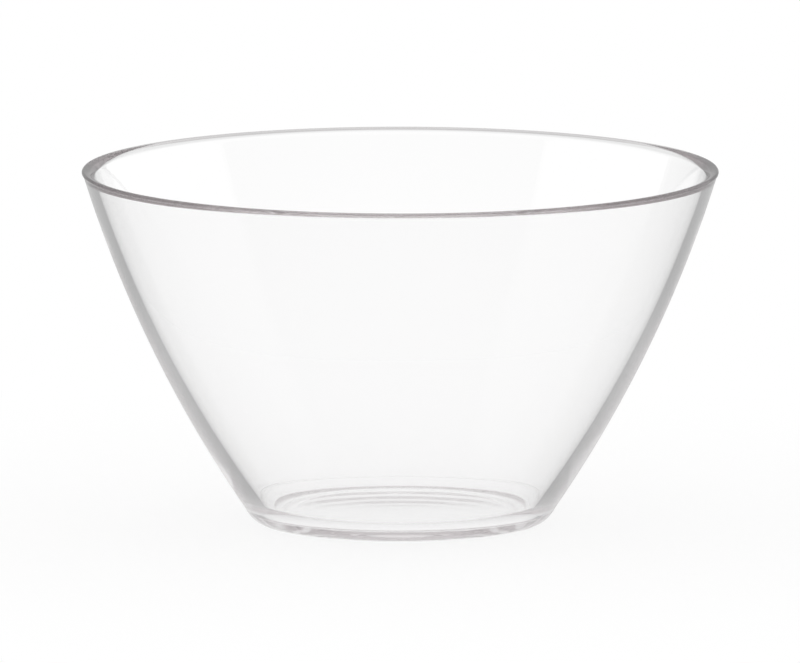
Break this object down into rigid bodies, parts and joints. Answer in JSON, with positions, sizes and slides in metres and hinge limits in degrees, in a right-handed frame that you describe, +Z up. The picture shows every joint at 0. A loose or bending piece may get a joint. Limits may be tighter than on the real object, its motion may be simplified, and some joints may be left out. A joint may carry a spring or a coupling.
{
  "type": "glass bowl",
  "caption": "Clear pressed glass bowl with a rim that is domed and slopes down inwards, a wall that bows outwards and thickens towards a small rounded foot, and a flat floor inside.",
  "frame": {"origin": "centre of the foot, on the surface that the bowl stands on", "axes": "+Z up along the bowl's axis, out of its mouth; X and Y are level, and the bowl is the same all round"},
  "size_m": [0.23, 0.23, 0.1285],
  "materials": {
    "clear_glass": "clear, fire-polished"
  },
  "bodies": {
    "root": {"bowl": "clear_glass"}
  },
  "joints": []
}
